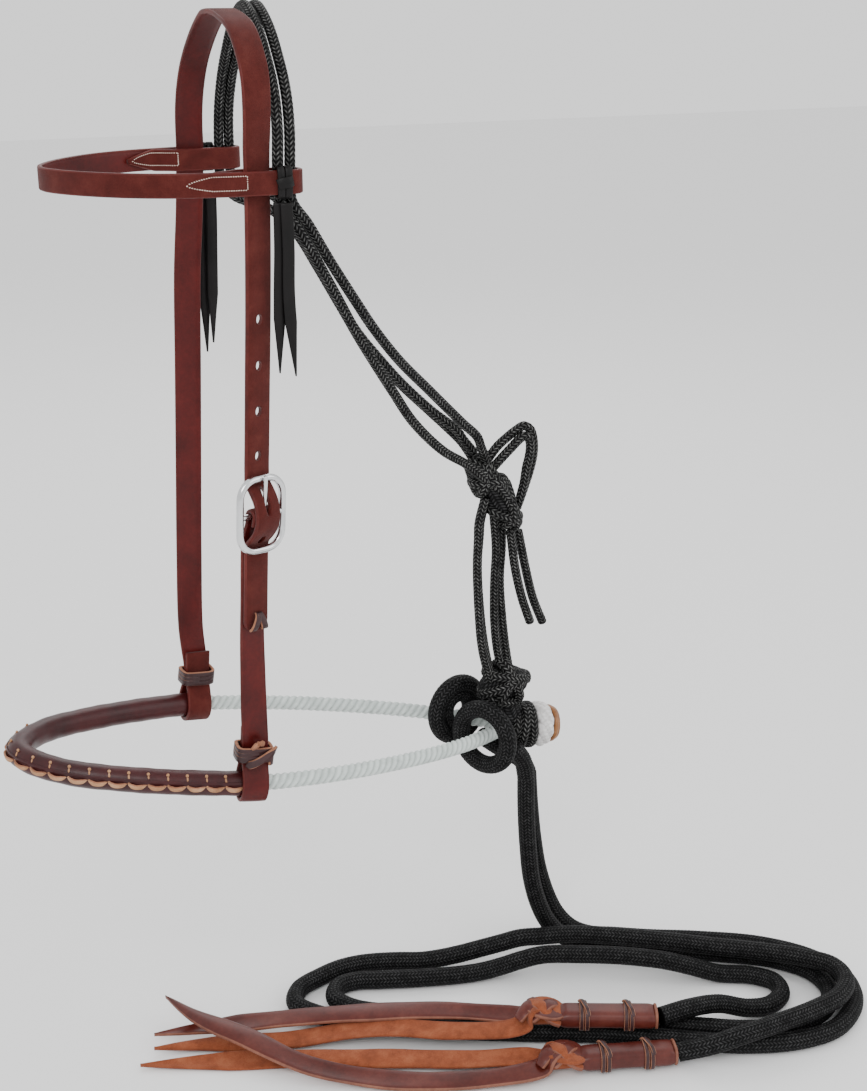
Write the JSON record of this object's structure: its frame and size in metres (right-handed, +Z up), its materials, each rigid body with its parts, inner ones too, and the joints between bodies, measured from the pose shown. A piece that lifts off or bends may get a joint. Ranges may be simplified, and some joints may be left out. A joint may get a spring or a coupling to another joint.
{
  "type": "bitless hackamore",
  "caption": "Bitless hackamore: leather headstall with browband and buckle, rope noseband, cord throat hanger and braided reins with split leather ends.",
  "frame": {"origin": "the underside of the crown strap at its highest point, where the hackamore rests on the poll", "axes": "+Z up, -X to the nose and +X to the heel of the noseband, -Y the near (left) side and +Y the off side"},
  "size_m": [0.526, 0.2685, 0.6413],
  "materials": {
    "bridle_leather": "satin",
    "cover_leather": "satin",
    "popper_leather": "satin",
    "dark_latigo": "satin",
    "black_latigo": "satin",
    "tan_lace": "matte",
    "white_rope": "matte",
    "black_rope": "matte",
    "rope_whipping": "satin",
    "stainless_steel": "polished"
  },
  "bodies": {
    "headstall": {"crown_strap": "bridle_leather", "near_cheek_strap": "bridle_leather", "buckle_frame": "stainless_steel", "near_cheek_lace": "dark_latigo", "off_cheek_lace": "dark_latigo", "billet_lace_knot": "dark_latigo", "noseband_rope": "white_rope", "noseband_cover": "cover_leather", "noseband_lacing": "tan_lace", "heel_button": "white_rope", "heel_cap": "rope_whipping", "heel_collar": "black_rope", "near_rein_ring": "black_rope", "off_rein_ring": "black_rope", "near_rein": "black_rope", "off_rein": "black_rope", "near_popper": "popper_leather", "off_popper": "popper_leather", "fiador_heel_knot": "black_rope", "fiador_throat_knot": "black_rope", "fiador_bight": "black_rope", "fiador_riser_near": "black_rope", "fiador_riser_off": "black_rope", "fiador_poll_strand_a": "black_rope", "fiador_poll_strand_b": "black_rope"},
    "tongue": {"buckle_tongue": "stainless_steel"},
    "browband_slide": {"browband": "bridle_leather", "near_tie_wrap": "black_latigo", "off_tie_wrap": "black_latigo"},
    "near_tie_a": {"near_tie_tail_a": "black_latigo"},
    "near_tie_b": {"near_tie_tail_b": "black_latigo"},
    "off_tie_a": {"off_tie_tail_a": "black_latigo"},
    "off_tie_b": {"off_tie_tail_b": "black_latigo"},
    "fiador_end_near": {"fiador_tail_near": "black_rope"},
    "fiador_end_off": {"fiador_tail_off": "black_rope"},
    "near_keeper_1": {"near_popper_keeper_1": "dark_latigo"},
    "near_keeper_2": {"near_popper_keeper_2": "dark_latigo"},
    "off_keeper_1": {"off_popper_keeper_1": "dark_latigo"},
    "off_keeper_2": {"off_popper_keeper_2": "dark_latigo"}
  },
  "joints": [
    {"name": "tongue_hinge", "type": "hinge", "parent": "headstall", "child": "tongue", "pos_m": [-0.00615, -0.06638, -0.2645], "axis": [0.9499, 0.3093, -0.0456], "range_deg": [0, 12]},
    {"name": "browband_height", "type": "slide", "parent": "headstall", "child": "browband_slide", "axis": [0, 0, 1], "range_m": [0, 0.008]},
    {"name": "near_tie_a_swing", "type": "hinge", "parent": "browband_slide", "child": "near_tie_a", "pos_m": [0.013, -0.0703, -0.0932], "axis": [0, 1, 0], "range_deg": [-10, 10]},
    {"name": "near_tie_b_swing", "type": "hinge", "parent": "browband_slide", "child": "near_tie_b", "pos_m": [0.0098, -0.0681, -0.0932], "axis": [0, 1, 0], "range_deg": [-10, 10]},
    {"name": "off_tie_a_swing", "type": "hinge", "parent": "browband_slide", "child": "off_tie_a", "pos_m": [0.0085, 0.0703, -0.0932], "axis": [0, 1, 0], "range_deg": [-10, 10]},
    {"name": "off_tie_b_swing", "type": "hinge", "parent": "browband_slide", "child": "off_tie_b", "pos_m": [0.0135, 0.0681, -0.0932], "axis": [0, 1, 0], "range_deg": [-10, 10]},
    {"name": "fiador_near_end_swing", "type": "hinge", "parent": "headstall", "child": "fiador_end_near", "pos_m": [0.1838, -0.004, -0.3285], "axis": [0, 1, 0], "range_deg": [-10, 10]},
    {"name": "fiador_off_end_swing", "type": "hinge", "parent": "headstall", "child": "fiador_end_off", "pos_m": [0.1941, 0.004, -0.3323], "axis": [0, 1, 0], "range_deg": [-10, 10]},
    {"name": "near_keeper_1_slide", "type": "slide", "parent": "headstall", "child": "near_keeper_1", "axis": [-0.9055, 0.4243, 0], "range_m": [-0.004, 0.004]},
    {"name": "near_keeper_2_slide", "type": "slide", "parent": "headstall", "child": "near_keeper_2", "axis": [-0.9055, 0.4243, 0], "range_m": [-0.004, 0.004]},
    {"name": "off_keeper_1_slide", "type": "slide", "parent": "headstall", "child": "off_keeper_1", "axis": [-0.9487, 0.3162, 0], "range_m": [-0.004, 0.004]},
    {"name": "off_keeper_2_slide", "type": "slide", "parent": "headstall", "child": "off_keeper_2", "axis": [-0.9487, 0.3162, 0], "range_m": [-0.004, 0.004]}
  ]
}
